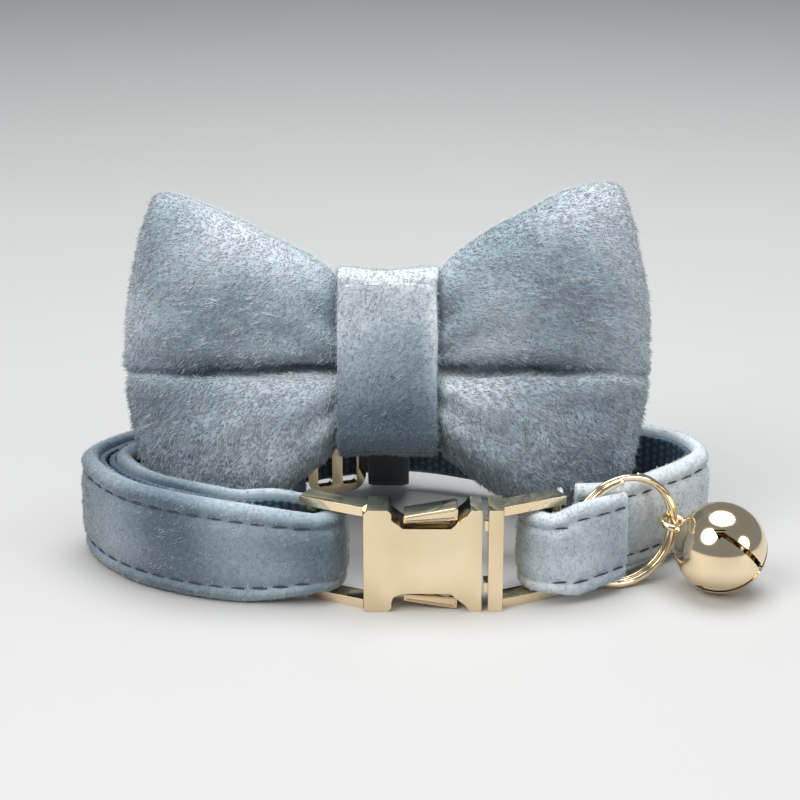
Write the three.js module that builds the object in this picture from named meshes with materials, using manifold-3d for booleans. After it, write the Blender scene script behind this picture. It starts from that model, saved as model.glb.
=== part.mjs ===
// A pet's bow tie collar, in millimetres, +Z up, standing on its lower edge with the buckle at -Y.
// A velvet strap lined with webbing runs round to a side-release buckle, a bow with a knot stands
// inside the loop in front of the rear of the strap, and a split ring carries a jingle bell.
import * as THREE from 'three';
import { mergeVertices } from 'three/addons/utils/BufferGeometryUtils.js';
import Module from 'manifold-3d';

const wasm = await Module();
wasm.setup();

const rad = THREE.MathUtils.degToRad;

// Driving dimensions
const strapWide = 15; // full width of the hemmed velvet strap
const velvetThick = 2.6; // velvet hem and pile, outside the webbing
const webbingThick = 0.9;
const webbingWide = 13; // the webbing stops short of both hems
const seamGap = 0.1; // between the velvet and the webbing
const plateHigh = 15; // buckle plate
const plateThick = 5.7;
const slotHigh = 12.4; // opening of each buckle frame, which pinches the strap
const frameBar = 1.3; // height of a frame's side bars
const frameAngle = rad(25); // each frame bends back from the plate
const crossBarRadius = 1.1;
const frameLong = 8; // from the plate to the centre of the crossbar
const ringRadius = 7.95; // centre of the ring's wire
const ringWire = { radial: 1.1, axial: 0.85, pitch: 1.0, turns: 1.94 };
const bellRadius = 6.5;
const bellWall = 0.6;
const bowLean = rad(18); // the bow leans back, away from the buckle
const bowFoot = 18; // where the bow's middle plane meets the surface it stands on
const knotAt = -1.8;
const pinch = slotHigh - 0.7; // strap width inside a buckle frame

const finish = (color, roughness, metalness) =>
  new THREE.MeshStandardMaterial({ color, roughness, metalness });
const velvet = finish(0x7f94a3, 0.95, 0);
const webbing = finish(0x2c4a60, 0.8, 0);
const gold = finish(0xe0c084, 0.15, 1);

const collar = new THREE.Group();

function addPiece(name, geometry, material, parent = collar) {
  const mesh = new THREE.Mesh(geometry, material);
  mesh.name = name;
  parent.add(mesh);
  return mesh;
}

// Solids

function volumeOf(geometry) {
  const place = geometry.attributes.position;
  const corner = geometry.index.array;
  const [a, b, c] = [new THREE.Vector3(), new THREE.Vector3(), new THREE.Vector3()];
  let sum = 0;
  for (let i = 0; i < corner.length; i += 3) {
    a.fromBufferAttribute(place, corner[i]);
    b.fromBufferAttribute(place, corner[i + 1]);
    c.fromBufferAttribute(place, corner[i + 2]);
    sum += a.dot(b.cross(c)) / 6;
  }
  return sum;
}

// A closed skin through rings of points; open lofts get a cap at each end.
function loft(rings, closed = false) {
  const size = rings[0].length;
  const points = rings.flat();
  const faces = [];
  const last = closed ? rings.length : rings.length - 1;
  for (let r = 0; r < last; r++) {
    const here = r * size;
    const there = ((r + 1) % rings.length) * size;
    for (let i = 0; i < size; i++) {
      const j = (i + 1) % size;
      faces.push(here + i, here + j, there + j, here + i, there + j, there + i);
    }
  }
  if (!closed) {
    for (const [first, turned] of [[0, true], [(rings.length - 1) * size, false]]) {
      const middle = new THREE.Vector3();
      for (let i = 0; i < size; i++) middle.addScaledVector(points[first + i], 1 / size);
      points.push(middle);
      const centre = points.length - 1;
      for (let i = 0; i < size; i++) {
        const [a, b] = [first + i, first + ((i + 1) % size)];
        faces.push(centre, turned ? b : a, turned ? a : b);
      }
    }
  }
  const geometry = new THREE.BufferGeometry().setFromPoints(points);
  geometry.setIndex(faces);
  if (volumeOf(geometry) < 0) {
    for (let i = 0; i < faces.length; i += 3) {
      [faces[i + 1], faces[i + 2]] = [faces[i + 2], faces[i + 1]];
    }
    geometry.setIndex(faces);
  }
  return geometry;
}

function solidOf(geometry) {
  const bare = geometry.clone();
  bare.deleteAttribute('normal');
  bare.deleteAttribute('uv');
  const merged = mergeVertices(bare, 1e-4);
  return new wasm.Manifold(new wasm.Mesh({
    numProp: 3,
    vertProperties: new Float32Array(merged.attributes.position.array),
    triVerts: new Uint32Array(merged.index.array),
  }));
}

function geometryOf(solid) {
  const mesh = solid.getMesh();
  const geometry = new THREE.BufferGeometry();
  geometry.setAttribute('position', new THREE.BufferAttribute(mesh.vertProperties, 3));
  geometry.setIndex(new THREE.BufferAttribute(mesh.triVerts, 1));
  return geometry;
}

const joined = (first, ...rest) =>
  geometryOf(rest.reduce((sum, shape) => sum.add(solidOf(shape)), solidOf(first)));

// The strap

// Half of a hemmed band's outline across the strap, as shares of its thickness and half width.
const hem = [
  { out: 0, up: 0.93 },
  { out: 0.18, up: 1 },
  { out: 0.62, up: 0.98 },
  { out: 0.93, up: 0.86 },
  { out: 1, up: 0.62 },
];
const flatEdge = [{ out: 0, up: 1 }, { out: 1, up: 1 }];

function outline(half, from, to, wide) {
  const upper = half.map(({ out, up }) => ({ out: from + (to - from) * out, up: up * wide / 2 }));
  const lower = upper.map(({ out, up }) => ({ out, up: -up })).reverse();
  return [...upper, ...lower];
}

// A band that follows a plan route. Each row: x, y, lift of the lower edge, width of the strap
// and thickness share. Points of a section lie to the right of the direction of travel.
function routeOf(rows) {
  const plan = rows.map(([x, y]) => new THREE.Vector3(x, y, 0));
  const sizes = rows.map(([, , lift, wide, thick]) => new THREE.Vector3(lift, wide, thick));
  return {
    line: new THREE.CatmullRomCurve3(plan, false, 'centripetal'),
    sizes: new THREE.CatmullRomCurve3(sizes, false, 'catmullrom', 0.5),
  };
}

function band(route, steps, half, from, to, wideShare) {
  const rings = [];
  for (let i = 0; i <= steps; i++) {
    const t = i / steps;
    const at = route.line.getPoint(t);
    const along = route.line.getTangent(t);
    const right = new THREE.Vector3(along.y, -along.x, 0);
    const { x: lift, y: wide, z: thick } = route.sizes.getPoint(t);
    const middle = lift + wide / 2;
    rings.push(outline(half, from * thick, to * thick, wide * wideShare)
      .map(({ out, up }) => at.clone().addScaledVector(right, out).setZ(middle + up)));
  }
  return loft(rings);
}

const crossBar = {
  left: new THREE.Vector2(-12.25, 6.4),
  right: new THREE.Vector2(21.3, 6.4),
};
const wrapRadius = crossBarRadius + 0.35 + webbingThick + seamGap / 2;

// Points of a turn round a crossbar, from one angle to another, in steps.
function turn(centre, from, to, count) {
  const rows = [];
  for (let i = 0; i <= count; i++) {
    const angle = rad(from + (to - from) * i / count);
    const [x, y] = [centre.x + wrapRadius * Math.cos(angle), centre.y + wrapRadius * Math.sin(angle)];
    rows.push([x, y, (plateHigh - pinch) / 2, pinch, 1]);
  }
  return rows;
}

// From the sewn end behind the ring, round the right, the rear and the left to the buckle, about
// its crossbar and back inside itself to the slider.
const strapRows = [
  [24.6, 10.9, 1.7, 13.3, 0.85],
  [28.4, 11.2, 1.7, 13.3, 0.85],
  [32.2, 13.0, 1.6, 13.3, 0.85],
  [36.4, 17.2, 1.2, 13.5, 0.9],
  [40.6, 21.2, 0.6, 14.2, 1],
  [43.1, 25.2, 0.4, 14.6, 1],
  [41.2, 28.6, 0.6, 15, 1],
  [35.5, 31.6, 1.0, 15, 1],
  [24, 37.0, 1.8, 15, 1],
  [12, 42.4, 2.6, 15, 1],
  [0, 45.6, 3, 15, 1],
  [-12, 43.0, 2.6, 15, 1],
  [-24, 37.6, 1.6, 15, 1],
  [-35, 32.2, 0.8, 15, 1],
  [-41.2, 28.6, 0.3, 15, 1],
  [-44.2, 23.6, 0, 15, 1],
  [-41.6, 17.0, 0, 15, 1],
  [-36.2, 11.0, 0, 15, 1],
  [-28, 6.4, 0, 15, 1],
  [-20, 4.5, 0.2, 14.2, 1],
  ...turn(crossBar.left, -90, 90, 6),
  [-17.5, 8.1, 1.4, 13.2, 1],
  [-22.5, 7.3, 0.6, 14.2, 1],
  [-27, 8.6, 0.2, 14.8, 1],
  [-34.6, 12.8, 0, 15, 1],
  [-39.6, 18.2, 0, 15, 1],
  [-41.6, 23.4, 0, 15, 1],
  [-39.4, 27.0, 0.3, 15, 1],
  [-34, 30.0, 0.8, 15, 1],
  [-24, 35.0, 1.6, 15, 1],
  [-15.6, 39.0, 2.2, 15, 1],
];
const strapRoute = routeOf(strapRows);
const strapSteps = 130;
addPiece('strap_velvet',
  band(strapRoute, strapSteps, hem, seamGap / 2, seamGap / 2 + velvetThick, 1), velvet);
addPiece('strap_webbing',
  band(strapRoute, strapSteps, flatEdge, -seamGap / 2 - webbingThick, -seamGap / 2,
    webbingWide / strapWide), webbing);

// A short strap about the other crossbar. Its front end is sewn down through the split ring, and
// its back end meets the sewn end of the long strap.
const endRows = [
  [22.9, 9.1, 1.4, 13, 1],
  ...turn(crossBar.right, 90, 270, 6),
  [24.2, 4.3, 1.0, 13.6, 0.72],
  [27.2, 5.4, 1.6, 13.4, 0.66],
  [30.8, 8.0, 1.9, 13, 0.66],
];
const rowsToTurnEnd = 8; // the sewn end's row and the seven of the turn
const endBack = endRows.slice(0, rowsToTurnEnd).map(([x, y, lift, wide]) => [x, y, lift, wide, 1]);
const reversed = (rows) => [...rows].reverse();
addPiece('end_loop_velvet',
  band(routeOf(reversed(endRows)), 44, hem, -seamGap / 2, -seamGap / 2 - velvetThick, 1), velvet);
addPiece('end_loop_webbing',
  band(routeOf(reversed(endBack)), 28, flatEdge, seamGap / 2 + webbingThick, seamGap / 2,
    webbingWide / strapWide), webbing);

// The buckle

const box = (x0, x1, y0, y1, z0, z1) =>
  new THREE.BoxGeometry(x1 - x0, y1 - y0, z1 - z0)
    .translate((x0 + x1) / 2, (y0 + y1) / 2, (z0 + z1) / 2);

// An outline in x and z, thick from y0 to y1.
function plate(points, y0, y1) {
  const shape = new THREE.Shape(points.map(([x, z]) => new THREE.Vector2(x, z)));
  return new THREE.ExtrudeGeometry(shape, { depth: y1 - y0, bevelEnabled: false })
    .rotateX(Math.PI / 2)
    .translate(0, y1, 0);
}

// A frame of two side bars and a round crossbar, reaching back from the plate at x = edge.
function frame(edge, side) {
  const centre = side < 0 ? crossBar.left : crossBar.right;
  const long = Math.hypot(centre.x - edge, frameLong * Math.tan(frameAngle));
  const bar = (z) => {
    const sideBar = box(-0.6, long + crossBarRadius, -1.5, 1.5, z, z + frameBar);
    const angle = Math.atan2(centre.y - plateThick / 2, Math.abs(centre.x - edge));
    sideBar.rotateZ(angle);
    if (side < 0) sideBar.rotateY(Math.PI).translate(0, 0, 2 * z + frameBar);
    return sideBar.translate(edge, plateThick / 2, 0);
  };
  const low = (plateHigh - slotHigh) / 2 - frameBar;
  const rod = new THREE.CylinderGeometry(crossBarRadius, crossBarRadius, slotHigh + 1, 12)
    .rotateX(Math.PI / 2)
    .translate(centre.x, centre.y, plateHigh / 2);
  return [bar(low), bar(plateHigh - low - frameBar), rod];
}

const socket = { left: -5, right: 11.2, notchLeft: -1.2, notchRight: 9.1, floorLeft: 0.4, floorRight: 6.9 };
const notch = 2.7;
const corner = 0.5;
const socketShape = [
  [socket.left, corner], [socket.left + corner, 0], [socket.notchLeft - corner, 0],
  [socket.notchLeft, corner], [socket.notchLeft, 1.4], [socket.notchLeft + 0.3, 2.2],
  [socket.floorLeft, notch], [socket.floorRight, notch], [socket.notchRight, 0.8],
  [socket.notchRight + corner, 0], [socket.right, 0], [socket.right, plateHigh],
  [socket.notchRight + corner, plateHigh], [socket.notchRight, plateHigh - 0.8],
  [socket.floorRight, plateHigh - notch], [socket.floorLeft, plateHigh - notch],
  [socket.notchLeft, plateHigh - 1.4], [socket.notchLeft, plateHigh - corner],
  [socket.notchLeft - corner, plateHigh], [socket.left + corner, plateHigh],
  [socket.left, plateHigh - corner],
];
addPiece('buckle_socket',
  joined(plate(socketShape, 0, plateThick), ...frame(socket.left, -1)), gold);

// The plug's end bar, its two posts and the wedge-shaped release tips in the socket's notches.
const plug = { left: 12.1, right: 14.1, postTip: 11.55, postHigh: 1.4, postEdge: 2.2, postInset: 1.6 };
const post = (z) => box(plug.postTip, plug.left + 0.2, plug.postInset, plateThick - plug.postInset,
  z, z + plug.postHigh);
const wedge = [[0.5, 12.75], [7.9, 13.3], [7.9, 14.8], [7.5, 14.95], [0.5, 13.75]];
const mirrored = (points) => points.map(([x, z]) => [x, plateHigh - z]).reverse();
addPiece('buckle_plug', joined(
  box(plug.left, plug.right, 0, plateThick, 0, plateHigh),
  post(plug.postEdge),
  post(plateHigh - plug.postEdge - plug.postHigh),
  ...frame(plug.right, 1),
), gold);
addPiece('release_tip_upper', plate(wedge, 0.9, plateThick - 0.9), gold);
addPiece('release_tip_lower', plate(mirrored(wedge), 0.9, plateThick - 0.9), gold);

// The split ring, wound twice, standing in the end loop

const ringPlace = { x: 31.5, y: 8.5, z: ringRadius + ringWire.radial / 2 + 0.05, turned: rad(22) };

function splitRing() {
  const { radial, axial, pitch, turns } = ringWire;
  const steps = 76;
  const rings = [];
  for (let i = 0; i <= steps; i++) {
    const t = i / steps;
    const angle = rad(96) + t * turns * 2 * Math.PI;
    const rise = pitch * turns * (t - 0.5);
    const ring = [];
    for (let k = 0; k < 8; k++) {
      const a = (k + 0.5) / 8 * 2 * Math.PI;
      const r = ringRadius + radial / 2 * Math.cos(a);
      ring.push(new THREE.Vector3(r * Math.cos(angle), rise + axial / 2 * Math.sin(a),
        r * Math.sin(angle)));
    }
    rings.push(ring);
  }
  return loft(rings);
}
const ring = addPiece('split_ring', splitRing(), gold);
ring.position.set(ringPlace.x, ringPlace.y, ringPlace.z);
ring.rotation.z = ringPlace.turned;

// The jingle bell, lying on its side: a shell with two crossed slots and a shank on the ring

const bellPlace = new THREE.Vector3(45.0, 7.3, bellRadius);
const ringEnd = new THREE.Vector3(
  ringPlace.x + ringRadius * Math.cos(ringPlace.turned),
  ringPlace.y + ringRadius * Math.sin(ringPlace.turned),
  ringPlace.z,
);
const shankWay = ringEnd.clone().sub(bellPlace).normalize();

function bell() {
  const arc = (radius, from, to, count) => {
    const points = [];
    for (let i = 0; i <= count; i++) {
      const a = from + (to - from) * i / count;
      points.push(new THREE.Vector2(radius * Math.cos(a), radius * Math.sin(a)));
    }
    return points;
  };
  const half = Math.PI / 2;
  const shell = new THREE.LatheGeometry(arc(bellRadius, -half, half, 18), 32);
  const hollow = new THREE.LatheGeometry(arc(bellRadius - bellWall, -half, half, 14), 24);
  const slot = (angle) => new THREE.BoxGeometry(bellRadius * 3, bellRadius, 0.7)
    .translate(0, -bellRadius / 2 - 0.35, 0)
    .rotateY(angle);
  const slotEnd = (angle) => new THREE.CylinderGeometry(1.0, 1.0, bellRadius * 3, 3)
    .rotateZ(half)
    .translate(0, -0.9, 0)
    .rotateY(angle);
  const reach = ringEnd.distanceTo(bellPlace);
  const eye = new THREE.TorusGeometry(1.75, 0.5, 8, 20).translate(0, reach + 0.1, 0);
  let solid = solidOf(shell).subtract(solidOf(hollow));
  for (const angle of [0, half]) {
    solid = solid.subtract(solidOf(slot(angle))).subtract(solidOf(slotEnd(angle)));
  }
  const outerEye = solidOf(eye).subtract(solidOf(hollow));
  return geometryOf(solid.add(outerEye));
}
const bellMesh = addPiece('jingle_bell', bell(), gold);
bellMesh.position.copy(bellPlace);
// The shank's eye crosses the ring's wire, and the slots' poles point away from it.
const upright = new THREE.Vector3(0, 0, 1);
const eyeAxis = new THREE.Vector3().crossVectors(shankWay, upright).normalize();
const bellTurn = new THREE.Matrix4().makeBasis(
  eyeAxis,
  shankWay,
  new THREE.Vector3().crossVectors(eyeAxis, shankWay),
);
bellMesh.quaternion.setFromRotationMatrix(bellTurn);

// The slider, lying on the inside of the strap's rear: a rounded plate with two slots and a bar

const slider = { long: 9.4, high: 17.4, thick: 1.5, slot: 2.3, bar: 1.7, corner: 2.6, x: -10.6 };

function routePoint(route, x, isThere) {
  let best = { t: 0, far: Infinity };
  for (let i = 0; i <= 400; i++) {
    const at = route.line.getPoint(i / 400);
    const far = Math.abs(at.x - x);
    if (isThere(at, i / 400) && far < best.far) best = { t: i / 400, far };
  }
  const along = route.line.getTangent(best.t);
  const { x: lift, y: wide } = route.sizes.getPoint(best.t);
  return { at: route.line.getPoint(best.t), along, middle: lift + wide / 2 };
}

function roundedOutline(kind, x0, x1, y0, y1, r) {
  const path = new kind();
  path.moveTo(x0 + r, y0);
  path.lineTo(x1 - r, y0);
  path.absarc(x1 - r, y0 + r, r, -Math.PI / 2, 0, false);
  path.lineTo(x1, y1 - r);
  path.absarc(x1 - r, y1 - r, r, 0, Math.PI / 2, false);
  path.lineTo(x0 + r, y1);
  path.absarc(x0 + r, y1 - r, r, Math.PI / 2, Math.PI, false);
  path.lineTo(x0, y0 + r);
  path.absarc(x0 + r, y0 + r, r, Math.PI, Math.PI * 1.5, false);
  return path;
}

function sliderPlate() {
  const { long, high, thick, slot, bar, corner: r } = slider;
  const shape = roundedOutline(THREE.Shape, -long / 2, long / 2, -high / 2, high / 2, r);
  const slotHalf = high / 2 - 1.3;
  for (const side of [-1, 1]) {
    const [inner, outer] = [side * bar / 2, side * (bar / 2 + slot)];
    shape.holes.push(roundedOutline(THREE.Path, Math.min(inner, outer), Math.max(inner, outer),
      -slotHalf, slotHalf, 0.5));
  }
  return new THREE.ExtrudeGeometry(shape, { depth: thick, bevelEnabled: false, curveSegments: 5 })
    .rotateX(Math.PI / 2);
}

const sliderSeat = routePoint(strapRoute, slider.x, (at, t) => at.y > 35 && t < 0.5);
const sliderMesh = addPiece('slider', sliderPlate(), gold);
const inward = new THREE.Vector3(-sliderSeat.along.y, sliderSeat.along.x, 0);
sliderMesh.position.copy(sliderSeat.at)
  .addScaledVector(inward, seamGap + webbingThick + 0.35)
  .setZ(sliderSeat.middle);
sliderMesh.rotation.z = Math.atan2(-sliderSeat.along.y, -sliderSeat.along.x);

// The bow, in its own leaning frame: x across, y through it and z up its middle plane

const bow = new THREE.Group();
bow.position.set(knotAt, bowFoot, 0);
bow.rotation.x = -bowLean;
collar.add(bow);

// One row for each section out from the knot: the bow's top on the left and on the right, its
// foot, half its padded thickness, the lower lobe's share of it, the share left at the crease,
// and how far its end bulges.
const bowRows = [
  { out: 0, left: 40.1, right: 40.1, foot: 17.7, half: 3.8, lower: 1, crease: 0.9, bulge: 0 },
  { out: 6.9, left: 40.2, right: 40.2, foot: 17.6, half: 3.8, lower: 1, crease: 0.8, bulge: 0 },
  { out: 7.9, left: 42.2, right: 42.6, foot: 15.4, half: 5.2, lower: 1, crease: 0.45, bulge: 0 },
  { out: 11, left: 44, right: 45.4, foot: 12.6, half: 6.2, lower: 1, crease: 0.35, bulge: 0 },
  { out: 17, left: 47.6, right: 49.6, foot: 8.4, half: 6.9, lower: 0.95, crease: 0.35, bulge: 0.2 },
  { out: 24, left: 51.2, right: 53.4, foot: 5.6, half: 7, lower: 0.85, crease: 0.4, bulge: 0.8 },
  { out: 29.5, left: 53.2, right: 55.2, foot: 5.4, half: 6.8, lower: 0.62, crease: 0.45, bulge: 2 },
  { out: 32.4, left: 53.9, right: 55.6, foot: 6.4, half: 6, lower: 0.5, crease: 0.55, bulge: 3.2 },
  { out: 33.8, left: 53.5, right: 55, foot: 7.6, half: 4.4, lower: 0.5, crease: 0.65, bulge: 3.8 },
  { out: 34.5, left: 52.4, right: 53.9, foot: 9, half: 2.2, lower: 0.6, crease: 0.75, bulge: 3.9 },
];
const creaseHeight = 28.2;
const backShare = 0.75; // the back lies flatter than the front
const lobeSteps = [0, 0.1, 0.26, 0.5, 0.74, 0.9, 0.98];

// How thick a padded lobe is, from its crease at 0 to its edge at 1.
const lobe = (u, crease) => (u < 0.5
  ? Math.sqrt(crease ** 2 + (1 - crease ** 2) * (1 - (1 - 2 * u) ** 2.4))
  : Math.sqrt(1 - (2 * u - 1) ** 2.6));

function bowSection(row, side) {
  const top = side < 0 ? row.left : row.right;
  const mid = (top + row.foot) / 2;
  const reach = (top - row.foot) / 2;
  const place = (height, through) => {
    const v = (height - mid) / reach;
    return new THREE.Vector3(side * (row.out + row.bulge * (1 - v * v)), through, height);
  };
  const edge = (end, face) => lobeSteps.map((u) => {
    const share = 1 - (1 - (end < creaseHeight ? row.lower : 1)) * Math.min(1, 4 * u);
    return place(creaseHeight + (end - creaseHeight) * u,
      (face > 0 ? backShare : -1) * share * row.half * lobe(u, row.crease));
  });
  const upFront = edge(top, -1);
  const upBack = edge(top, 1).slice(1).reverse();
  const downBack = edge(row.foot, 1);
  const downFront = edge(row.foot, -1).slice(1).reverse();
  return [...upFront, place(top, 0), ...upBack, ...downBack, place(row.foot, 0), ...downFront];
}

const leftSections = bowRows.slice(1).reverse().map((row) => bowSection(row, -1));
const rightSections = bowRows.map((row) => bowSection(row, 1));
addPiece('bow_wings', loft([...leftSections, ...rightSections]), velvet, bow);

const knot = { wide: 14.4, thick: 1.8, low: 15.2, high: 42.7, deep: 6.3 };

function knotBand() {
  const { wide, thick, low, high, deep } = knot;
  const shape = roundedOutline(THREE.Shape, -deep, deep, low, high, 3.6);
  shape.holes.push(roundedOutline(THREE.Path, thick - deep, deep - thick, low + thick,
    high - thick, 2));
  return new THREE.ExtrudeGeometry(shape, { depth: wide, bevelEnabled: false, curveSegments: 6 })
    .applyMatrix4(new THREE.Matrix4().makeBasis(
      new THREE.Vector3(0, 1, 0), new THREE.Vector3(0, 0, 1), new THREE.Vector3(1, 0, 0)))
    .translate(-wide / 2, 0, 0);
}
addPiece('bow_knot', knotBand(), velvet, bow);

// A flat elastic loop that ties the back of the knot to the rear of the strap

const elastic = { wide: 7, thick: 0.8 };
const elasticRoute = [
  [32.4, 20.6], [34.2, 25.8], [36.6, 26.2], [43.6, 20.2], [47.6, 19.4], [49.3, 18.2],
  [49.6, 11], [49.3, 3.4], [47.6, 2.0], [43.4, 1.9], [40.2, 4.6], [32.6, 15.6],
];

function elasticLoop() {
  const line = new THREE.CatmullRomCurve3(
    elasticRoute.map(([y, z]) => new THREE.Vector3(0, y, z)), true, 'centripetal');
  const count = 40;
  const rings = [];
  for (let i = 0; i < count; i++) {
    const at = line.getPoint(i / count);
    const along = line.getTangent(i / count);
    const out = new THREE.Vector3(0, along.z, -along.y);
    rings.push([[-1, -1], [1, -1], [1, 1], [-1, 1]].map(([a, b]) =>
      at.clone().addScaledVector(out, b * elastic.thick / 2)
        .add(new THREE.Vector3(a * elastic.wide / 2 + knotAt, 0, 0))));
  }
  return loft(rings, true);
}
addPiece('bow_elastic', elasticLoop(), webbing);

// The origin is the middle of the foot of the collar's own box.
const whole = new THREE.Box3().setFromObject(collar, true);
const foot = whole.getCenter(new THREE.Vector3()).setZ(whole.min.z);
collar.position.sub(foot);
collar.updateMatrixWorld(true);

export default collar;
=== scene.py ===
# A velvet bow tie collar for a small pet: strap, webbing, buckle, bow, split ring and jingle bell.
import math
import bmesh
import bpy
import numpy as np
from mathutils import Matrix, Vector, noise


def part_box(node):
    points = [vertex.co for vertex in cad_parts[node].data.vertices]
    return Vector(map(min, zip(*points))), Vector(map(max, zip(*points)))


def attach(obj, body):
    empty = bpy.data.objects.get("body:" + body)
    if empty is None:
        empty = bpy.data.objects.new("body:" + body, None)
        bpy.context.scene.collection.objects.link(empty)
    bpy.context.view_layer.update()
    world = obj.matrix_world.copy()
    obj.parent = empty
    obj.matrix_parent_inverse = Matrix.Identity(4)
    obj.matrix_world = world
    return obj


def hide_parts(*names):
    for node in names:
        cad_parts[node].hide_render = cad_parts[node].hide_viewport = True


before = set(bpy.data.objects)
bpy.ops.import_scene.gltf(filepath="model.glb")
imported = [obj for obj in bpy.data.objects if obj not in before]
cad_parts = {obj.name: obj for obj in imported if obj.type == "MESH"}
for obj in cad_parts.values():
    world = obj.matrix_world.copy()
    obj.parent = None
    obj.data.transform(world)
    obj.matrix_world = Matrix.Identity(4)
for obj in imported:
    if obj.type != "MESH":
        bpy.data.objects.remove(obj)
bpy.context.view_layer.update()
mm = 0.001
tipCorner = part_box("release_tip_upper")[0]
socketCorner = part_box("buckle_socket")[0]
home = Vector((tipCorner[0] - 0.5 * mm, socketCorner[1], 0))  # the buckle plate's own corner of the frame
scene = bpy.context.scene
scene.view_settings.view_transform = "Standard"


def place(x, y, z):
    return home + Vector((x, y, z)) * mm


# Camera and light

camera = {"at": (0, -245.6, 115.5), "pitch": 71.0, "lens": 88.0}
lamps = {
    "softboxLeft": {"at": (-300, -260, 420), "size": 420, "power": 2.1, "tint": (1.0, 0.985, 0.96)},
    "softboxTop": {"at": (60, 120, 560), "size": 500, "power": 2.9, "tint": (0.95, 0.98, 1.0)},
    "cardRight": {"at": (420, -240, 200), "size": 260, "power": 0.6, "tint": (1.0, 0.98, 0.95)},
}


def makeCamera():
    data = bpy.data.cameras.new("camera")
    data.lens = camera["lens"]
    data.clip_start = 0.01
    eye = bpy.data.objects.new("camera", data)
    eye.location = place(*camera["at"])
    eye.rotation_euler = (math.radians(camera["pitch"]), 0, 0)
    scene.collection.objects.link(eye)
    scene.camera = eye


def makeLamps():
    for name, lamp in lamps.items():
        data = bpy.data.lights.new(name, "AREA")
        data.shape = "DISK"
        data.size = lamp["size"] * mm
        data.energy = lamp["power"]
        data.color = lamp["tint"]
        piece = bpy.data.objects.new(name, data)
        piece.location = place(*lamp["at"])
        aim = place(0, 25, 15) - piece.location
        piece.rotation_euler = aim.to_track_quat("-Z", "Y").to_euler()
        scene.collection.objects.link(piece)
    world = bpy.data.worlds.new("studio")
    world.use_nodes = True
    back = world.node_tree.nodes["Background"]
    back.inputs["Color"].default_value = (0.66, 0.71, 0.78, 1)
    back.inputs["Strength"].default_value = 0.36
    scene.world = world


# Materials

def nodesOf(name):
    material = bpy.data.materials.new(name)
    material.use_nodes = True
    tree = material.node_tree
    return material, tree, tree.nodes["Principled BSDF"]


def addNode(tree, kind, **values):
    node = tree.nodes.new(kind)
    for key, value in values.items():
        if key in node.inputs:
            node.inputs[key].default_value = value
        else:
            setattr(node, key, value)
    return node


def ramp(tree, source, stops):
    node = tree.nodes.new("ShaderNodeValToRGB")
    marks = node.color_ramp.elements
    while len(marks) < len(stops):
        marks.new(0.5)
    for mark, (where, tint) in zip(marks, stops):
        mark.position = where
        mark.color = (*tint, 1)
    tree.links.new(source, node.inputs["Fac"])
    return node.outputs["Color"]


velvetTints = {"dark": (0.06, 0.105, 0.145), "mid": (0.33, 0.415, 0.475), "light": (0.74, 0.80, 0.835)}


def velvetCloth():
    material, tree, shader = nodesOf("velvetCloth")
    where = tree.nodes.new("ShaderNodeTexCoord")
    broad = addNode(tree, "ShaderNodeTexNoise", Scale=90.0, Detail=3.0)
    fine = addNode(tree, "ShaderNodeTexNoise", Scale=1600.0, Detail=4.0)
    for node in (broad, fine):
        tree.links.new(where.outputs["Object"], node.inputs["Vector"])
    # tone holds the cloth's own tone together with painted light and shade
    tone = addNode(tree, "ShaderNodeAttribute", attribute_name="tone")
    speckle = addNode(tree, "ShaderNodeMath", operation="MULTIPLY_ADD")
    speckle.inputs[1].default_value = 0.35
    tree.links.new(fine.outputs["Fac"], speckle.inputs[0])
    tree.links.new(tone.outputs["Fac"], speckle.inputs[2])
    drift = addNode(tree, "ShaderNodeMath", operation="MULTIPLY_ADD")
    drift.inputs[1].default_value = 0.2
    tree.links.new(broad.outputs["Fac"], drift.inputs[0])
    tree.links.new(speckle.outputs[0], drift.inputs[2])
    stops = [(0.3, velvetTints["dark"]), (0.85, velvetTints["mid"]), (1.35, velvetTints["light"])]
    half = addNode(tree, "ShaderNodeMath", operation="MULTIPLY")
    half.inputs[1].default_value = 0.7
    tree.links.new(drift.outputs[0], half.inputs[0])
    stops = [(0.7 * where, tint) for where, tint in stops]
    tree.links.new(ramp(tree, half.outputs[0], stops), shader.inputs["Base Color"])
    bump = addNode(tree, "ShaderNodeBump", Strength=0.6, Distance=0.0002)
    tree.links.new(fine.outputs["Fac"], bump.inputs["Height"])
    tree.links.new(bump.outputs["Normal"], shader.inputs["Normal"])
    shader.inputs["Roughness"].default_value = 0.95
    shader.inputs["Sheen Weight"].default_value = 0.5
    shader.inputs["Sheen Roughness"].default_value = 0.5
    return material


def velvetPile():
    material, tree, shader = nodesOf("velvetPile")
    # tone holds each fibre's tone together with painted light and shade, darker roots and lighter tips
    tone = addNode(tree, "ShaderNodeAttribute", attribute_name="tone")
    stops = [(0.0, velvetTints["dark"]), (0.5, velvetTints["mid"]), (1.0, velvetTints["light"])]
    tree.links.new(ramp(tree, tone.outputs["Fac"], stops), shader.inputs["Base Color"])
    shader.inputs["Roughness"].default_value = 0.6
    shader.inputs["Sheen Weight"].default_value = 0.35
    shader.inputs["Sheen Roughness"].default_value = 0.4
    return material


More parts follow.
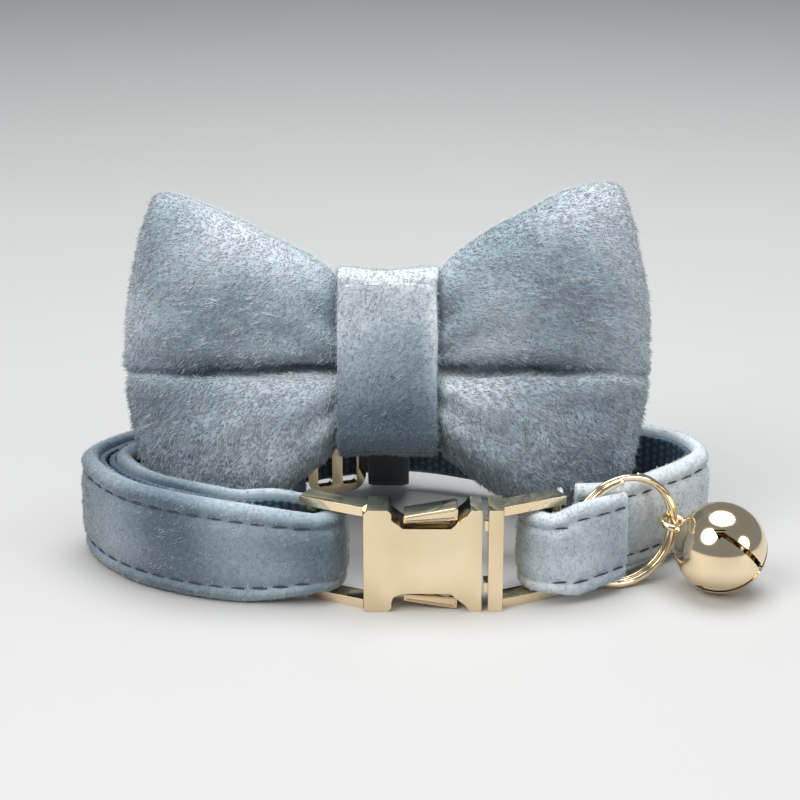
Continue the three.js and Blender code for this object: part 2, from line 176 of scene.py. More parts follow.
def webbingCloth(name, dark, light):
    material, tree, shader = nodesOf(name)
    # The colour follows the rise of the picks: painted shade in the dips between them and painted light on their tops,
    # with a fine grain.
    rise = addNode(tree, "ShaderNodeAttribute", attribute_name="rise")
    where = tree.nodes.new("ShaderNodeTexCoord")
    fine = addNode(tree, "ShaderNodeTexNoise", Scale=2500.0, Detail=3.0)
    tree.links.new(where.outputs["Object"], fine.inputs["Vector"])
    blend = addNode(tree, "ShaderNodeMath", operation="MULTIPLY")
    tree.links.new(rise.outputs["Fac"], blend.inputs[0])
    tree.links.new(ramp(tree, fine.outputs["Fac"], [(0.3, (0.5,) * 3), (0.7, (1.2,) * 3)]), blend.inputs[1])
    tree.links.new(ramp(tree, blend.outputs[0], [(0.1, dark), (1.0, light)]), shader.inputs["Base Color"])
    bump = addNode(tree, "ShaderNodeBump", Strength=0.5, Distance=0.0001)
    tree.links.new(fine.outputs["Fac"], bump.inputs["Height"])
    tree.links.new(bump.outputs["Normal"], shader.inputs["Normal"])
    shader.inputs["Roughness"].default_value = 0.55
    shader.inputs["Sheen Weight"].default_value = 0.2
    return material


def threadYarn():
    material, tree, shader = nodesOf("threadYarn")
    where = tree.nodes.new("ShaderNodeTexCoord")
    twist = addNode(tree, "ShaderNodeTexWave", Scale=900.0, Distortion=1.0)
    tree.links.new(where.outputs["Object"], twist.inputs["Vector"])
    tree.links.new(ramp(tree, twist.outputs["Fac"], [(0, (0.012, 0.028, 0.055)), (1, (0.04, 0.075, 0.125))]),
                   shader.inputs["Base Color"])
    shader.inputs["Roughness"].default_value = 0.6
    return material


def paleGold():
    material, tree, shader = nodesOf("paleGold")
    where = tree.nodes.new("ShaderNodeTexCoord")
    cloud = addNode(tree, "ShaderNodeTexNoise", Scale=120.0, Detail=4.0)
    rub = addNode(tree, "ShaderNodeTexNoise", Scale=900.0, Detail=3.0)
    for node in (cloud, rub):
        tree.links.new(where.outputs["Object"], node.inputs["Vector"])
    tree.links.new(ramp(tree, cloud.outputs["Fac"], [(0.3, (0.84, 0.67, 0.43)), (0.7, (0.93, 0.77, 0.54))]),
                   shader.inputs["Base Color"])
    gloss = addNode(tree, "ShaderNodeMapRange")
    gloss.inputs["To Min"].default_value = 0.06
    gloss.inputs["To Max"].default_value = 0.16
    tree.links.new(rub.outputs["Fac"], gloss.inputs["Value"])
    tree.links.new(gloss.outputs["Result"], shader.inputs["Roughness"])
    bump = addNode(tree, "ShaderNodeBump", Strength=0.04, Distance=0.0002)
    tree.links.new(cloud.outputs["Fac"], bump.inputs["Height"])
    tree.links.new(bump.outputs["Normal"], shader.inputs["Normal"])
    shader.inputs["Metallic"].default_value = 1.0
    return material


def paleFloor():
    material, tree, shader = nodesOf("paleFloor")
    where = tree.nodes.new("ShaderNodeTexCoord")
    cloud = addNode(tree, "ShaderNodeTexNoise", Scale=6.0, Detail=2.0)
    tree.links.new(where.outputs["Object"], cloud.inputs["Vector"])
    tree.links.new(ramp(tree, cloud.outputs["Fac"], [(0.3, (0.60, 0.588, 0.572)), (0.7, (0.615, 0.605, 0.59))]),
                   shader.inputs["Base Color"])
    shader.inputs["Roughness"].default_value = 0.6
    return material


makeCamera()
makeLamps()
finishes = {
    "cloth": velvetCloth(),
    "pile": velvetPile(),
    "webbing": webbingCloth("webbingCloth", (0.006, 0.02, 0.04), (0.085, 0.17, 0.25)),
    "elastic": webbingCloth("elasticCloth", (0.008, 0.02, 0.035), (0.07, 0.13, 0.185)),
    "thread": threadYarn(),
    "gold": paleGold(),
}
print("camera, lamps and materials made")


# Shared makers

def addPiece(name, mesh, finish, smooth=True):
    mesh.materials.clear()
    mesh.materials.append(finishes[finish])
    piece = bpy.data.objects.new(name, mesh)
    scene.collection.objects.link(piece)
    if smooth:
        mesh.polygons.foreach_set("use_smooth", [True] * len(mesh.polygons))
    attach(piece, "root")
    return piece


def fromBmesh(bm, name):
    mesh = bpy.data.meshes.new(name)
    bm.to_mesh(mesh)
    bm.free()
    return mesh


def cadCopy(node, flat):
    bm = bmesh.new()
    bm.from_mesh(bpy.data.objects[node].data)
    bmesh.ops.remove_doubles(bm, verts=bm.verts, dist=0.002 * mm)
    if flat:
        bmesh.ops.dissolve_limit(bm, angle_limit=math.radians(1), verts=bm.verts, edges=bm.edges)
    return bm


def addSubdivision(piece, levels):
    modifier = piece.modifiers.new("round", "SUBSURF")
    modifier.levels = levels
    modifier.render_levels = levels
    return modifier


def bake(piece):
    # Applies what the modifiers make.
    graph = bpy.context.evaluated_depsgraph_get()
    mesh = bpy.data.meshes.new_from_object(piece.evaluated_get(graph))
    piece.modifiers.clear()
    piece.data = mesh
    return piece


def splinePoints(rows, count, centripetal):
    # count + 1 points of a Catmull-Rom curve through rows, an equal number on each span.
    p = np.array(rows, float)
    p = np.vstack([2 * p[0] - p[1], p, 2 * p[-1] - p[-2]])
    found = []
    for i in range(count + 1):
        span = min(int(i / count * (len(p) - 3)), len(p) - 4)
        t = i / count * (len(p) - 3) - span
        q = p[span:span + 4]
        if centripetal:
            gaps = [max(np.linalg.norm(q[k + 1] - q[k]) ** 0.5, 1e-4) for k in range(3)]
        else:
            gaps = [1.0, 1.0, 1.0]
        t1 = ((q[1] - q[0]) / gaps[0] - (q[2] - q[0]) / (gaps[0] + gaps[1]) + (q[2] - q[1]) / gaps[1]) * gaps[1]
        t2 = ((q[2] - q[1]) / gaps[1] - (q[3] - q[1]) / (gaps[1] + gaps[2]) + (q[3] - q[2]) / gaps[2]) * gaps[1]
        c2 = -3 * q[1] + 3 * q[2] - 2 * t1 - t2
        c3 = 2 * q[1] - 2 * q[2] + t1 + t2
        found.append(q[1] + t1 * t + c2 * t * t + c3 * t ** 3)
    return np.array(found)


# Routes of the strap and the end loop, as rows of x, y, lift of the lower edge, width and
# thickness share, in millimetres from the buckle plate's corner

strap = {
    "width": 15.0, "velvet": 2.6, "webbing": 0.9, "webWide": 13.0, "gap": 0.1, "plate": 15.0,
    "pinch": 11.7, "wrap": 2.4, "stitchIn": 2.4, "stitch": 2.2, "stitchGap": 0.7,
}
crossBars = {"left": (-12.25, 6.4), "right": (21.3, 6.4)}


def turnRows(centre, start, stop, count=6):
    rows = []
    for i in range(count + 1):
        angle = math.radians(start + (stop - start) * i / count)
        rows.append((centre[0] + strap["wrap"] * math.cos(angle), centre[1] + strap["wrap"] * math.sin(angle),
                     (strap["plate"] - strap["pinch"]) / 2, strap["pinch"], 1))
    return rows


strapRows = [
    (24.6, 10.9, 1.7, 13.3, 0.85), (28.4, 11.2, 1.7, 13.3, 0.85), (32.2, 13.0, 1.6, 13.3, 0.85),
    (36.4, 17.2, 1.2, 13.5, 0.9), (40.6, 21.2, 0.6, 14.2, 1), (43.1, 25.2, 0.4, 14.6, 1),
    (41.2, 28.6, 0.6, 15, 1), (35.5, 31.6, 1.0, 15, 1), (24, 37.0, 1.8, 15, 1), (12, 42.4, 2.6, 15, 1),
    (0, 45.6, 3, 15, 1), (-12, 43.0, 2.6, 15, 1), (-24, 37.6, 1.6, 15, 1), (-35, 32.2, 0.8, 15, 1),
    (-41.2, 28.6, 0.3, 15, 1), (-44.2, 23.6, 0, 15, 1), (-41.6, 17.0, 0, 15, 1), (-36.2, 11.0, 0, 15, 1),
    (-28, 6.4, 0, 15, 1), (-20, 4.5, 0.2, 14.2, 1), *turnRows(crossBars["left"], -90, 90),
    (-17.5, 8.1, 1.4, 13.2, 1), (-22.5, 7.3, 0.6, 14.2, 1), (-27, 8.6, 0.2, 14.8, 1), (-34.6, 12.8, 0, 15, 1),
    (-39.6, 18.2, 0, 15, 1), (-41.6, 23.4, 0, 15, 1), (-39.4, 27.0, 0.3, 15, 1), (-34, 30.0, 0.8, 15, 1),
    (-24, 35.0, 1.6, 15, 1), (-15.6, 39.0, 2.2, 15, 1),
]
endRows = [
    (30.8, 8.0, 1.9, 13, 0.66), (27.2, 5.4, 1.6, 13.4, 0.66), (24.2, 4.3, 1.0, 13.6, 0.72),
    *turnRows(crossBars["right"], 270, 90), (22.9, 9.1, 1.4, 13, 1),
]


class Route:
    # A strap's path, evened out along its length.

    def __init__(self, rows, count, side):
        line = splinePoints([r[:2] for r in rows], 40 * len(rows), True)
        sizes = splinePoints([r[2:] for r in rows], 40 * len(rows), False)
        along = np.concatenate([[0], np.cumsum(np.linalg.norm(np.diff(line, axis=0), axis=1))])
        self.length = along[-1]
        at = np.linspace(0, self.length, count)
        self.line = np.stack([np.interp(at, along, line[:, k]) for k in range(2)], 1)
        self.lift, self.wide, self.thick = (np.interp(at, along, sizes[:, k]) for k in range(3))
        slope = np.gradient(self.line, axis=0)
        slope /= np.linalg.norm(slope, axis=1)[:, None]
        self.right = np.stack([slope[:, 1], -slope[:, 0]], 1) * side
        self.count = count

    def point(self, s, out, up):
        # The place at share s of the length, out from the line and up from the strap's middle line.
        f = s * (self.count - 1)
        i = min(int(f), self.count - 2)
        t = f - i
        mix = lambda a: a[i] * (1 - t) + a[i + 1] * t
        x, y = mix(self.line) + mix(self.right) * out
        return place(x, y, mix(self.lift) + mix(self.wide) / 2 + up)

    def size(self, s):
        i = min(int(s * (self.count - 1) + 0.5), self.count - 1)
        return self.wide[i], self.thick[i]


longRoute = Route(strapRows, 900, 1)
shortRoute = Route(endRows, 220, -1)


def bandMesh(name, route, alongSteps, outline, extra=None):
    # A closed band: a grid whose columns follow the outline round the strap and rows its route.
    bm = bmesh.new()
    around = len(outline)
    bmesh.ops.create_grid(bm, x_segments=around, y_segments=alongSteps, size=1)
    layer = bm.verts.layers.float.new("rise")
    for vert in bm.verts:
        k = round((vert.co.x + 1) / 2 * around)
        s = (vert.co.y + 1) / 2
        out, up = outline[k % around]
        wide, thick = route.size(s)
        shift, rise = extra(k % around, s, route) if extra else (0, 1)
        vert.co = route.point(s, out * thick + shift, up * wide / 2)
        vert[layer] = rise
    bmesh.ops.remove_doubles(bm, verts=bm.verts, dist=0.001 * mm)
    bmesh.ops.holes_fill(bm, edges=[e for e in bm.edges if e.is_boundary], sides=0)
    bmesh.ops.recalc_face_normals(bm, faces=bm.faces)
    return fromBmesh(bm, name)


def hemOutline(thick, gap):
    # The velvet's section: flat behind, full over the hems and drawn in at the stitch lines.
    dip = 1 - 2 * strap["stitchIn"] / strap["width"]
    half = [(0.0, 0.55), (0.0, 0.8), (0.03, 0.93), (0.16, 0.99), (0.36, 1.0), (0.58, 0.985), (0.78, 0.94),
            (0.9, 0.87), (0.93, 0.79), (0.86, 0.73), (0.80, dip), (0.86, 0.62), (0.95, 0.54), (1.0, 0.4),
            (1.0, 0.2), (1.0, 0.0)]
    points = half + [(a, -b) for a, b in half[-2::-1]]
    return [(gap + thick * a, b) for a, b in points] + [(gap, -0.2), (gap, 0.2)]


# Velvet and webbing bands

def velvetBand(name, node, route, steps):
    half = strap["gap"] / 2

    def quilt(k, s, r):
        seam = k in (9, 10, 11, 21, 20, 19)
        wave = math.cos(2 * math.pi * s * r.length / (strap["stitch"] + strap["stitchGap"]))
        lumps = noise.noise(Vector((s * r.length * 0.16, k * 0.25, 3)))
        return (0.10 * wave if seam else 0) + (0.16 * lumps if 3 < k < 27 else 0), 1

    mesh = bandMesh(name, route, steps, hemOutline(strap["velvet"], half), quilt)
    piece = addPiece(name, mesh, "cloth")
    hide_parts(node)
    return piece


def webbingBand(name, node, route, steps):
    # Webbing with columns of small picks on the face that shows inside the loop.
    back, front = strap["gap"] / 2, strap["gap"] / 2 + strap["webbing"]
    share = strap["webWide"] / strap["width"]
    columns = 44
    inner = [(-front, share * (1 - 2 * i / columns)) for i in range(columns + 1)]
    outline = inner + [(-back, -share), (-back, share)]

    def picks(k, s, r):
        if k > columns:
            return 0, 0.4
        a = s * r.length
        column = math.floor(a / 1.15)
        across = math.sin(math.pi * (a / 1.15 - column))
        pick = 0.5 + 0.5 * math.cos(2 * math.pi * (k / columns * 11 + 0.5 * (column % 2)))
        edge = 1 if k in (0, 1, columns - 1, columns) else 0
        rise = max(across * (0.35 + 0.65 * pick), 0.9 * edge * across)
        # rise lifts each pick and also sets its colour, which paints shade into the dips
        return -0.09 * (rise - 0.5), rise

    mesh = bandMesh(name, route, steps, outline, picks)
    piece = addPiece(name, mesh, "webbing")
    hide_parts(node)
    return piece


strapVelvet = velvetBand("strapVelvet", "strap_velvet", longRoute, 620)
loopVelvet = velvetBand("loopVelvet", "end_loop_velvet", shortRoute, 80)
strapWebbing = webbingBand("strapWebbing", "strap_webbing", longRoute, 880)
webRoute = Route([r[:4] + (1,) for r in endRows[3:]], 120, -1)
loopWebbing = webbingBand("loopWebbing", "end_loop_webbing", webRoute, 60)
print("bands made")


# Thread

def capsules(name, ends, radius, finish, sides=6):
    # Short rods with tapered ends, one for each pair of points, joined as one mesh.
    shape = [(0.0, 0.35), (0.12, 0.85), (0.5, 1.0), (0.88, 0.85), (1.0, 0.35)]
    a = np.array([e[0] for e in ends], float)
    b = np.array([e[1] for e in ends], float)
    way = b - a
    way /= np.linalg.norm(way, axis=1)[:, None]
    side = np.cross(way, (0.03, 0.02, 1.0))
    side /= np.linalg.norm(side, axis=1)[:, None]
    up = np.cross(way, side)
    rings = []
    for share, full in shape:
        middle = a + (b - a) * share
        for k in range(sides):
            turn = 2 * math.pi * k / sides
            rings.append(middle + radius * full * (side * math.cos(turn) + up * math.sin(turn)))
    points = np.stack(rings, 1).reshape(-1, 3)
    each = len(shape) * sides
    faces = []
    for r in range(len(shape) - 1):
        for k in range(sides):
            n = (k + 1) % sides
            faces.append((r * sides + k, r * sides + n, (r + 1) * sides + n, (r + 1) * sides + k))
    caps = [tuple(range(sides))[::-1], tuple(range(each - sides, each))]
    table = [tuple(i * each + v for v in face) for i in range(len(ends)) for face in faces + caps]
    mesh = bpy.data.meshes.new(name)
    mesh.from_pydata(points.tolist(), [], table)
    bm = bmesh.new()
    bm.from_mesh(mesh)
    bmesh.ops.recalc_face_normals(bm, faces=bm.faces)
    bm.to_mesh(mesh)
    bm.free()
    return addPiece(name, mesh, finish)


thread = {"radius": 0.14, "proud": 0.83}


def stitchEnds(route, first=0.0, last=1.0):
    found = []
    step = strap["stitch"] + strap["stitchGap"]
    count = int((last - first) * route.length / step)
    for i in range(count):
        s = first + (i * step + strap["stitchGap"] / 2) / route.length
        e = s + strap["stitch"] / route.length
        for sign in (-1, 1):
            wide, thick = route.size((s + e) / 2)
            up = sign * (wide / 2) * (1 - 2 * strap["stitchIn"] / strap["width"])
            out = strap["gap"] / 2 + strap["velvet"] * thread["proud"] * thick
            found.append((route.point(s, out, up), route.point(e, out, up)))
    return found


capsules("strapStitches", stitchEnds(longRoute), thread["radius"] * mm, "thread")
capsules("loopStitches", stitchEnds(shortRoute), thread["radius"] * mm, "thread")


def edgeTwill(route, name, first=0.0, last=1.0):
    # The light slanting picks along the webbing's two edges.
    found = []
    count = int(route.length * (last - first) / 0.8)
    for i in range(count):
        s = first + (last - first) * i / count
        e = min(s + 0.75 / route.length, 1)
        for sign in (-1, 1):
            wide, thick = route.size(s)
            up = sign * (wide / 2 * strap["webWide"] / strap["width"] - 0.05)
            found.append((route.point(s, -0.95, up - sign * 0.1), route.point(e, -0.2, up)))
    return capsules(name, found, 0.16 * mm, "twill", 5)


finishes["twill"] = webbingCloth("edgeTwill", (0.10, 0.17, 0.22), (0.36, 0.45, 0.52))
edgeTwill(longRoute, "strapTwill")
print("thread made")


# The bow

bow = {"wrinkle": 0.35, "fold": 0.9, "crease": 28.2, "creaseDeep": 2.3, "lip": 0.8}
bowBox = [Vector(c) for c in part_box("bow_wings")]
knotBox = [Vector(c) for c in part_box("bow_knot")]
lean = math.radians(18)
knotMiddle = (knotBox[0] + knotBox[1]) / 2


def softCopy(name, node, levels, finish, shape=None):
    bm = cadCopy(node, False)
    bmesh.ops.join_triangles(bm, faces=bm.faces, angle_face_threshold=0.9, angle_shape_threshold=0.9)
    piece = addPiece(name, fromBmesh(bm, name), finish)
    addSubdivision(piece, levels)
    bake(piece)
    if shape:
        normals = [v.normal.copy() for v in piece.data.vertices]
        for vert, normal in zip(piece.data.vertices, normals):
            vert.co += normal * shape(vert.co, normal) * mm
    piece.data.polygons.foreach_set("use_smooth", [True] * len(piece.data.polygons))
    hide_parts(node)
    return piece


def wingShape(co, normal):
    # Soft rumples, with gathers that run out from the knot.
    across = (co.x - knotMiddle.x) / mm
    up = (co.z - knotMiddle.z) / mm
    reach = abs(across)
    angle = math.atan2(up, max(reach, 4))
    gather = math.sin(angle * 15 + noise.noise(Vector((across * 0.06, 2, 0))) * 3) * max(0, 1 - reach / 26)
    rumple = noise.noise(Vector((across * 0.11, up * 0.2, co.y / mm * 0.1)))
    shape = bow["fold"] * gather * 0.45 + bow["wrinkle"] * rumple
    foot = (co - place(-1.8, 18, 0)) / mm
    height = foot.z * math.cos(lean) + foot.y * math.sin(lean)
    through = foot.y * math.cos(lean) - foot.z * math.sin(lean)
    if through < 0:
        d = height - bow["crease"] + 0.035 * max(0, reach - 8) + 0.5 * noise.noise(Vector((across * 0.12, 5, 1)))
        fade = 1 - min(1, max(0, (reach - 25) / 8)) * (0.8 if across > 0 else 0.65)
        shape -= fade * bow["creaseDeep"] * math.exp(-(d / 0.6) ** 2)
        shape += fade * bow["lip"] * math.exp(-((d - 2.4) / 1.8) ** 2)
        shape += fade * 0.4 * math.exp(-((d + 2.6) / 2.0) ** 2)
    return shape


def knotShape(co, normal):
    across = (co.x - knotMiddle.x) / mm
    up = (co.z - knotMiddle.z) / mm
    return 0.3 * noise.noise(Vector((across * 0.22, up * 0.16, 7))) - 0.5 * math.exp(-(across / 4) ** 2)


bowWings = softCopy("bowWings", "bow_wings", 3, "cloth", wingShape)
bowKnot = softCopy("bowKnot", "bow_knot", 2, "cloth", knotShape)
bowElastic = softCopy("bowElastic", "bow_elastic", 2, "elastic")
print("bow made")


# Velvet pile

def broadTone(p):
    return 0.45 * noise.noise(p * 0.075 + Vector((1, 7, 5)))


def toneBase(piece, shade):
    # the cloth under the pile takes the same light and dark areas, painted light and shade included
    mesh = piece.data
    at = np.empty(len(mesh.vertices) * 3)
    out = np.empty(len(mesh.vertices) * 3)
    mesh.vertices.foreach_get("co", at)
    mesh.vertex_normals.foreach_get("vector", out)
    at, out = at.reshape(-1, 3), out.reshape(-1, 3)
    level = 0.36 + np.array([broadTone(Vector(p / mm)) for p in at]) + shade(at, out)
    layer = mesh.attributes.new("tone", "FLOAT", "POINT")
    layer.data.foreach_set("value", np.clip(level, 0, 1))


def growPile(name, base, count, length, width, flow, seed, keep=None, shade=None, droop=0.35):
    # Short slanting tufts over a base piece, each a closed spike with its own tone.
    rng = np.random.default_rng(seed)
    mesh = base.data
    mesh.calc_loop_triangles()
    points = np.empty(len(mesh.vertices) * 3)
    mesh.vertices.foreach_get("co", points)
    points = points.reshape(-1, 3)
    corners = np.empty(len(mesh.loop_triangles) * 3, int)
    mesh.loop_triangles.foreach_get("vertices", corners)
    corners = corners.reshape(-1, 3)
    a, b, c = (points[corners[:, k]] for k in range(3))
    normal = np.cross(b - a, c - a)
    area = np.linalg.norm(normal, axis=1) / 2
    normal /= np.maximum(area * 2, 1e-15)[:, None]
    weight = area * (keep((a + b + c) / 3, normal) if keep else 1)
    pick = rng.choice(len(area), count, p=weight / weight.sum())
    u, v = np.sqrt(rng.random(count)), rng.random(count)
    at = a[pick] * (1 - u)[:, None] + b[pick] * (u * (1 - v))[:, None] + c[pick] * (u * v)[:, None]
    out = normal[pick]
    way = flow(at, out)
    way -= out * (way * out).sum(1)[:, None]
    way /= np.maximum(np.linalg.norm(way, axis=1), 1e-9)[:, None]
    across = np.cross(out, way)
    wave = np.empty(count)
    swirl = np.empty(count)
    broad = np.empty(count)
    for i in range(count):
        p = at[i] / mm
        f, g = float(p @ way[i]), float(p @ across[i])
        wave[i] = 0.6 * noise.noise(Vector(p) * 0.8) + noise.noise(Vector((f * 0.45, g * 1.6, float(p @ out[i]) * 0.5)))
        swirl[i] = noise.noise(Vector(p) * 0.28 + Vector((9, 4, 2)))
        broad[i] = broadTone(Vector(p))
    lift = 0.38 + 0.4 * np.clip(wave, -0.5, 0.8)
    long = length * mm * (0.75 + 0.5 * rng.random(count)) * (1 + 0.35 * np.clip(wave, -1, 1))
    bend = way + across * (0.9 * swirl + 0.35 * (rng.random(count) - 0.5))[:, None]
    bend /= np.linalg.norm(bend, axis=1)[:, None]
    tip = at + long[:, None] * (bend * (1 - droop * lift[:, None]) + out * lift[:, None])
    side = np.cross(out, bend)
    side /= np.maximum(np.linalg.norm(side, axis=1), 1e-9)[:, None]
    foot = width * mm * (0.7 + 0.6 * rng.random(count))[:, None]
    sunk = at - out * 0.1 * mm
    p0, p1, p2 = sunk + side * foot / 2, sunk - side * foot / 2, sunk - bend * foot * 0.7
    verts = np.stack([p0, p1, p2, tip], 1).reshape(-1, 3)
    each = np.array([[0, 1, 3], [1, 2, 3], [2, 0, 3], [0, 2, 1]])
    faces = (each[None] + 4 * np.arange(count)[:, None, None]).reshape(-1, 3)
    pile = bpy.data.meshes.new(name)
    pile.vertices.add(len(verts))
    pile.vertices.foreach_set("co", verts.ravel())
    pile.loops.add(faces.size)
    pile.loops.foreach_set("vertex_index", faces.ravel())
    pile.polygons.add(len(faces))
    pile.polygons.foreach_set("loop_start", np.arange(len(faces)) * 3)
    pile.update(calc_edges=True)
    # shade brings in the piece's painted light; each fibre's root is then painted darker and its tip lighter, painted
    # shade in the depth of the pile and painted light on the tips
    level = 0.46 + 0.68 * wave + broad + (shade(at, out) if shade else 0)
    root = np.clip(level, 0, 1) + 0.14 * (rng.random(count) - 0.5)
    tone = np.stack([root - 0.3, root - 0.3, root - 0.3, root + 0.2], 1).ravel()
    layer = pile.attributes.new("tone", "FLOAT", "POINT")
    layer.data.foreach_set("value", np.clip(tone, 0, 1))
    bm = bmesh.new()
    bm.from_mesh(pile)
    if bm.calc_volume(signed=True) < 0:
        bmesh.ops.reverse_faces(bm, faces=bm.faces)
    bm.to_mesh(pile)
    bm.free()
    return addPiece(name, pile, "pile", smooth=False)


def bowFlow(at, out):
    # Sideways over the upper lobes, and slanting down over the lower ones.
    across = (at[:, 0] - knotMiddle.x) / mm
    up = (at[:, 2] - knotMiddle.z) / mm
    side = np.sign(across)
    low = np.clip((-up + 2) / 8, 0, 1)
    return np.stack([side * (1 - 0.35 * low), 0.1 * np.ones(len(at)), -0.15 - 0.75 * low], 1)


def bowPaintedLight(at, out):
    # Painted light: lighter over what faces up, with a painted light rim where the surface turns sideways.
    rim = np.clip((np.abs(out[:, 0]) - 0.6) / 0.4, 0, 1)
    return 0.36 * out[:, 2] + 0.05 + 0.22 * rim


def knotPaintedLight(at, out):
    # Painted light: lighter towards the knot's top and over what faces up, with a lighter painted strip along its right
    # side.
    up = (at[:, 2] - knotMiddle.z) / mm
    across = (at[:, 0] - knotMiddle.x) / mm
    strip = 0.25 * np.clip((across - 5.4) / 0.8, 0, 1)
    return np.clip(0.075 * up - 0.08, -0.55, 0.45) + 0.3 * out[:, 2] + strip


def strapShade(at, out):
    # Painted light on the hem's top, which faces up; also lighter towards the ring and darker at the left turn.
    across = at[:, 0] / mm
    return 0.35 * np.clip(out[:, 2], -0.3, 1) + 0.5 * np.clip((across - 8) / 14, -0.3, 1) - 0.12 * np.clip((-28 - across) / 10, 0, 1)


def strapFlow(at, out):
    turned = np.cross(out, (0, 0, 1.0))
    return turned * 0.75 + np.array((0, 0, -0.65))


for piece, shade in ((bowWings, bowPaintedLight), (bowKnot, knotPaintedLight), (strapVelvet, strapShade), (loopVelvet, strapShade)):
    toneBase(piece, shade)
fibres = 44000
wide = 0.17
growPile("bowPileLeft", bowWings, fibres, 0.8, wide, bowFlow, 11,
         lambda at, n: (at[:, 0] < knotMiddle.x) * (1 + 0.6 * (n[:, 1] < 0.2)), bowPaintedLight)
growPile("bowPileRight", bowWings, fibres, 0.8, wide, bowFlow, 12,
         lambda at, n: (at[:, 0] >= knotMiddle.x) * (1 + 0.6 * (n[:, 1] < 0.2)), bowPaintedLight)
growPile("knotPile", bowKnot, fibres // 2, 0.65, wide * 0.9, strapFlow, 13, shade=knotPaintedLight)


def outerFace(route, reach):
    # A weight that leaves out the velvet's back, which lies on the webbing.
    line = np.stack([route.line[:, 0] * mm + home.x, route.line[:, 1] * mm + home.y], 1)

    def weigh(at, normal):
        found = np.empty(len(at))
        for i in range(0, len(at), 4000):
            gap = np.linalg.norm(at[i:i + 4000, None, :2] - line[None, ::3], axis=2)
            near = gap.argmin(1) * 3
            way = route.right[near]
            found[i:i + 4000] = (normal[i:i + 4000, :2] * way).sum(1) + 0.8 * (gap.min(1) > reach * mm)
        return (found > -0.35).astype(float)

    return weigh


growPile("strapPile", strapVelvet, fibres, 0.42, wide * 0.85, strapFlow, 14, outerFace(longRoute, 0.9), strapShade)
growPile("loopPile", loopVelvet, fibres // 6, 0.42, wide * 0.85, strapFlow, 15, outerFace(shortRoute, 0.9), strapShade)
print("pile grown")


# Metal

plate = {"bevel": 0.28, "thick": 5.7}
ringPlace = {"x": 31.5, "y": 8.5, "z": 8.55, "radius": 7.95, "turned": 22}
bellPlace = {"x": 45.0, "y": 7.3, "z": 6.5, "radius": 6.5, "wall": 0.6, "slot": 0.7, "slotEnd": 1.0}


def bevelledCopy(name, node, width, segments=3, shape=None):
    bm = cadCopy(node, True)
    if shape:
        shape(bm)
    piece = addPiece(name, fromBmesh(bm, name), "gold")
    modifier = piece.modifiers.new("edges", "BEVEL")
    modifier.width = width * mm
    modifier.segments = segments
    modifier.limit_method = "ANGLE"
    modifier.angle_limit = math.radians(35)
    modifier.harden_normals = True
    modifier.use_clamp_overlap = True
    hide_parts(node)
    return piece


def sunkFace(bm):
    # The release tip's face, sunk inside a raised rim.
    bm.faces.ensure_lookup_table()
    front = max((f for f in bm.faces if f.normal.y < -0.9), key=lambda f: f.calc_area())
    bmesh.ops.inset_region(bm, faces=[front], thickness=0.3 * mm, depth=0)
    bmesh.ops.inset_region(bm, faces=[front], thickness=0.08 * mm, depth=-0.25 * mm)


socket = bevelledCopy("buckleSocket", "buckle_socket", plate["bevel"])
plug = bevelledCopy("bucklePlug", "buckle_plug", plate["bevel"])
bevelledCopy("releaseTipUpper", "release_tip_upper", 0.12, 2, sunkFace)
bevelledCopy("releaseTipLower", "release_tip_lower", 0.12, 2, sunkFace)
slider = bevelledCopy("strapSlider", "slider", 0.35)

ring = addPiece("splitRing", fromBmesh(cadCopy("split_ring", False), "splitRing"), "gold")
addSubdivision(ring, 2)
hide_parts("split_ring")


def bellFrame():
    turn = math.radians(ringPlace["turned"])
    middle = place(bellPlace["x"], bellPlace["y"], bellPlace["z"])
    ringEnd = place(ringPlace["x"] + ringPlace["radius"] * math.cos(turn),
                    ringPlace["y"] + ringPlace["radius"] * math.sin(turn), ringPlace["z"])
    up = (ringEnd - middle).normalized()
    eye = up.cross(Vector((0, 0, 1))).normalized()
    rest = eye.cross(up)
    return Matrix((eye, up, rest)).transposed().to_4x4(), middle, (ringEnd - middle).length


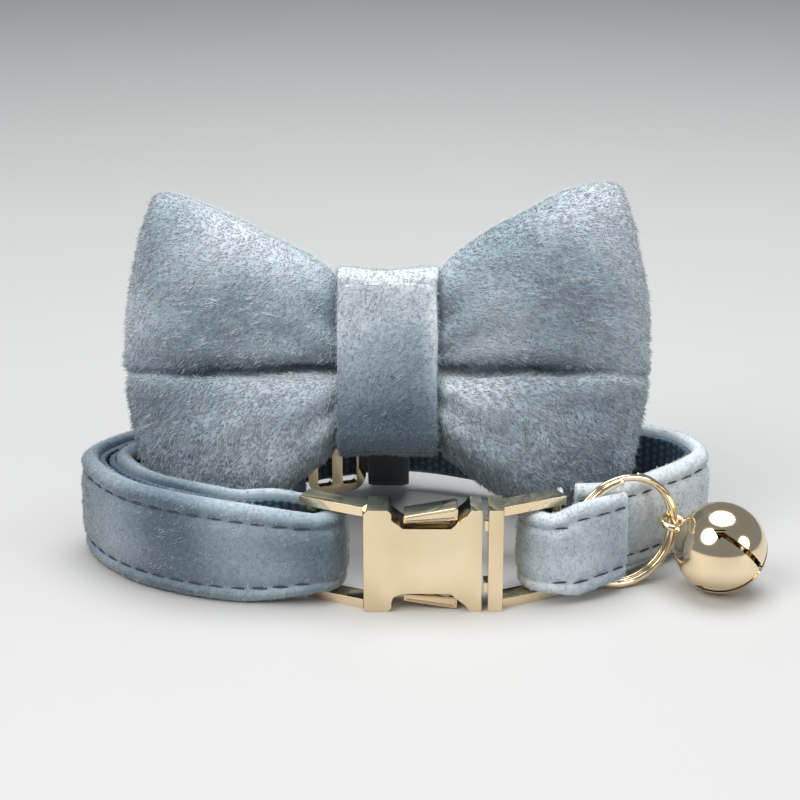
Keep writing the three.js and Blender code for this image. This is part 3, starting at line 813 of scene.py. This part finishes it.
def makeBell():
    turn, middle, reach = bellFrame()
    whole = Matrix.Translation(middle) @ turn
    radius = bellPlace["radius"] * mm
    bm = bmesh.new()
    bmesh.ops.create_uvsphere(bm, u_segments=96, v_segments=64, radius=radius,
                              matrix=Matrix.Rotation(math.radians(90), 4, "X"))
    shell = bpy.data.objects.new("shell", fromBmesh(bm, "shell"))
    inner = bmesh.new()
    bmesh.ops.create_uvsphere(inner, u_segments=72, v_segments=48, radius=radius - bellPlace["wall"] * mm,
                              matrix=Matrix.Rotation(math.radians(90), 4, "X"))
    hollow = bpy.data.objects.new("hollow", fromBmesh(inner, "hollow"))
    tools = [hollow]
    for angle in (45, 135):
        spin = Matrix.Rotation(math.radians(angle), 4, "Y")
        cutter = bmesh.new()
        size = Matrix.Diagonal((radius * 3, radius, bellPlace["slot"] * mm, 1))
        bmesh.ops.create_cube(cutter, size=1, matrix=spin @ Matrix.Translation((0, -radius / 2 - 0.35 * mm, 0)) @ size)
        tools.append(bpy.data.objects.new("slot", fromBmesh(cutter, "slot")))
        ends = bmesh.new()
        lay = Matrix.Translation((0, -0.6 * mm, 0)) @ Matrix.Rotation(math.radians(90), 4, "Y")
        bmesh.ops.create_cone(ends, cap_ends=True, segments=3, radius1=bellPlace["slotEnd"] * mm,
                              radius2=bellPlace["slotEnd"] * mm, depth=radius * 3, matrix=spin @ lay)
        tools.append(bpy.data.objects.new("ends", fromBmesh(ends, "ends")))
    for piece in [shell] + tools:
        scene.collection.objects.link(piece)
    for tool in tools:
        cut = shell.modifiers.new("cut", "BOOLEAN")
        cut.operation = "DIFFERENCE"
        cut.solver = "EXACT"
        cut.object = tool
    bake(shell)
    bm = bmesh.new()
    bm.from_mesh(shell.data)
    eye = bmesh.new()
    start = Matrix.Translation((1.75 * mm, 0, 0)) @ Matrix.Rotation(math.radians(90), 4, "X")
    bmesh.ops.create_circle(eye, segments=16, radius=0.5 * mm, matrix=start)
    bmesh.ops.spin(eye, geom=eye.verts[:] + eye.edges[:], axis=(0, 0, 1), cent=(0, 0, 0),
                   angle=2 * math.pi, steps=48, use_merge=True)
    bmesh.ops.recalc_face_normals(eye, faces=eye.faces)
    bmesh.ops.translate(eye, verts=eye.verts, vec=(0, reach + 0.1 * mm, 0))
    ringMesh = fromBmesh(eye, "eye")
    bm.from_mesh(ringMesh)
    bmesh.ops.transform(bm, matrix=whole, verts=bm.verts)
    for piece in [shell] + tools:
        bpy.data.objects.remove(piece)
    bell = addPiece("jingleBell", fromBmesh(bm, "jingleBell"), "gold")
    bell.data.set_sharp_from_angle(angle=math.radians(40))
    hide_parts("jingle_bell")
    return bell


makeBell()
print("metal made")


# Floor

floorMesh = bmesh.new()
bmesh.ops.create_grid(floorMesh, x_segments=1, y_segments=1, size=3.0)
floor = bpy.data.objects.new("floor", fromBmesh(floorMesh, "floor"))
floor.data.materials.append(paleFloor())
scene.collection.objects.link(floor)
